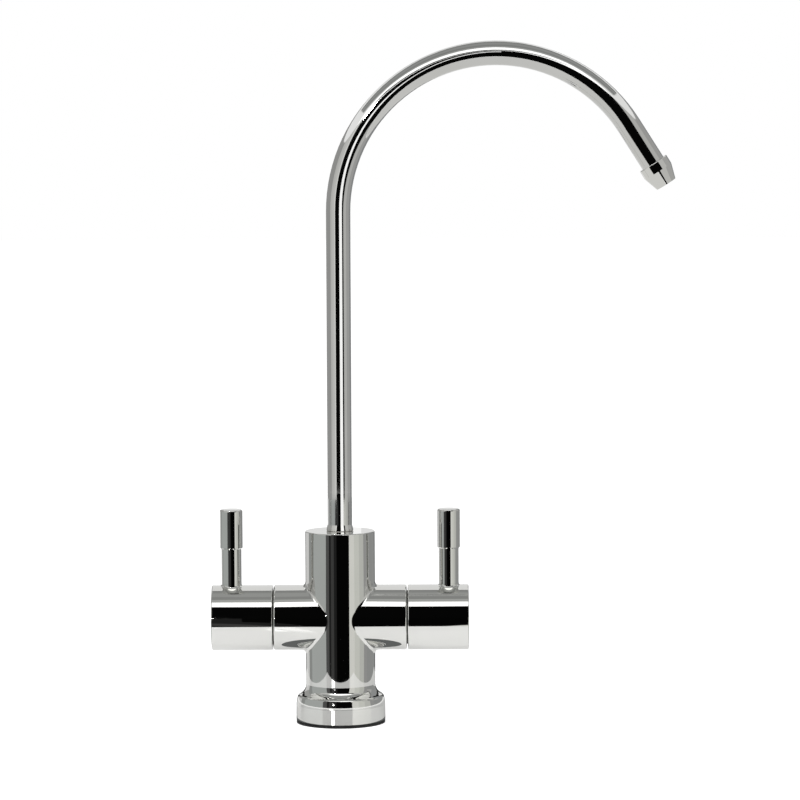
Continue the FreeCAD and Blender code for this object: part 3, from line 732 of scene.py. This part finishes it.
def hang_ceiling():
    """The softbox in front and the ceiling's strips, which the tops of the arms and of the bend mirror."""
    half, front = SOFTBOX_HALF_WIDTH, -HIGH_WALL_R
    flat_card("softbox", upright_corners(-half, half, front, CEILING_EDGE_Z, CEILING_Z), "#ffffff", SOFTBOX)
    left, right = -CEILING_HALF_WIDTH, CEILING_HALF_WIDTH
    for i, (back, front, colour) in enumerate(CEILING_STRIPS):
        corners = [(x, y, CEILING_Z) for x, y in ((left, front), (right, front), (right, back), (left, back))]
        flat_card("ceiling_%d" % i, corners, colour, SEEN_IN_CHROME)


def hang_small_lamps():
    """The small lamp, the cards that stand for it, its gleam on the table, and the shade round the base."""
    (x, y, z), half = SMALL_LAMP_CENTRE, SMALL_LAMP_HALF_WIDTH
    flat_card("small_lamp", upright_corners(x - half, x + half, y, z - half, z + half), "#ffffff", SMALL_LAMP)
    for name, (z, near_r, far_r, strength) in LAMP_CARDS.items():
        ring_card(name, BASE_R, (round_card(near_r), z), (round_card(far_r), z), LAMP_START, LAMP_END,
                  card_material("#ffffff", strength, True))
    gleam = gleam_material()
    for name, (mirror_r, near_r, far_r, start, end) in GLEAM_CARDS.items():
        edges = [(round_card(radius), GLEAM_Z) for radius in (far_r, near_r)]
        ring_card(name, mirror_r, *edges, start, end, gleam)
    # Painted shadow: a dark ring round the base, seen only in the chrome, which stands for the tap's shadow
    # on the table
    edges = [(round_card(radius), SHADE_Z) for radius in SHADE_RADII]
    ring_card("shade_round_base", 0.0, *edges, -180, 180, card_material("#5c5e5e", SEEN_IN_CHROME, False))


def lay_floor():
    """A white table that keeps the tap's shadow. The chrome mirrors it as it is lit, slightly glossy."""
    material, tree, _ = new_material("white_table")
    path = add_node(tree, "ShaderNodeLightPath")
    matt = add_node(tree, "ShaderNodeBsdfDiffuse", inputs={"Color": linear("#f4f4f4")})
    glow = add_node(tree, "ShaderNodeEmission", inputs={"Color": linear("#ffffff"), "Strength": 0.6})
    bright = add_node(tree, "ShaderNodeAddShader", links={0: matt, 1: glow})
    gloss = add_node(tree, "ShaderNodeBsdfGlossy", inputs={"Color": linear("#ffffff"), "Roughness": 0.12})
    faint_glow = add_node(tree, "ShaderNodeEmission", inputs={"Color": linear("#ffffff"), "Strength": 0.17})
    faint = add_node(tree, "ShaderNodeAddShader", links={0: matt, 1: faint_glow})
    edge_on = add_node(tree, "ShaderNodeFresnel", inputs={"IOR": 1.45})
    mirrored = add_node(tree, "ShaderNodeMixShader", links={0: edge_on, 1: faint, 2: gloss})
    direct = add_node(tree, "ShaderNodeMath", {"operation": "MAXIMUM"},
                      links={0: path.outputs["Is Camera Ray"], 1: path.outputs["Is Transmission Ray"]})
    in_chrome = add_node(tree, "ShaderNodeMixShader",
                         links={0: path.outputs["Is Glossy Ray"], 1: matt, 2: mirrored})
    surface = add_node(tree, "ShaderNodeMixShader", links={0: direct, 1: in_chrome, 2: bright})
    add_node(tree, "ShaderNodeOutputMaterial", links={"Surface": surface})
    half, z = FLOOR_HALF_WIDTH * MM, FLOOR_Z * MM
    corners = [(-half, -half, z), (half, -half, z), (half, half, z), (-half, half, z)]
    floor = new_stage_mesh("floor", corners, [(0, 1, 2, 3)], material)


def light_world():
    """White behind the tap for the camera and reflections, and a plain even light for everything else."""
    world = bpy.data.worlds.new("studio")
    bpy.context.scene.world = world
    world.use_nodes = True
    tree = world.node_tree
    tree.nodes.clear()
    path = add_node(tree, "ShaderNodeLightPath")
    seen = add_node(tree, "ShaderNodeMath", {"operation": "MAXIMUM"},
                    links={0: path.outputs["Is Camera Ray"], 1: path.outputs["Is Glossy Ray"]})
    seen = add_node(tree, "ShaderNodeMath", {"operation": "MAXIMUM"},
                    links={0: seen, 1: path.outputs["Is Transmission Ray"]})
    strength = add_node(tree, "ShaderNodeMapRange", inputs={"To Min": WORLD_LEVEL, "To Max": 1.0},
                        links={"Value": seen})
    back = add_node(tree, "ShaderNodeBackground",
                    inputs={"Color": linear("#ffffff")}, links={"Strength": strength})
    add_node(tree, "ShaderNodeOutputWorld", links={"Surface": back})


def hang_lamp(name, place, watts):
    """A square lamp that points at the tap, kept out of its mirror finish."""
    data = bpy.data.lights.new(name, "AREA")
    data.size = LAMP_WIDTH * MM
    data.energy = watts
    lamp = bpy.data.objects.new(name, data)
    bpy.context.scene.collection.objects.link(lamp)
    lamp.location = Vector(place) * MM
    aim = Vector(LAMPS_AIM) * MM - lamp.location
    lamp.rotation_euler = aim.to_track_quat("-Z", "Y").to_euler()
    lamp.visible_glossy = False


bpy.context.scene.view_settings.view_transform = "Standard"
place_camera()
finishes = make_finishes()
dress_nodes(finishes)
cut_threads(finishes["brass"])
lay_floor()
hang_low_cards()
hang_high_cards()
hang_ribbon()
hang_ceiling()
hang_small_lamps()
light_world()
hang_lamp("key", KEY_PLACE, KEY_WATTS)
hang_lamp("fill", FILL_PLACE, FILL_WATTS)
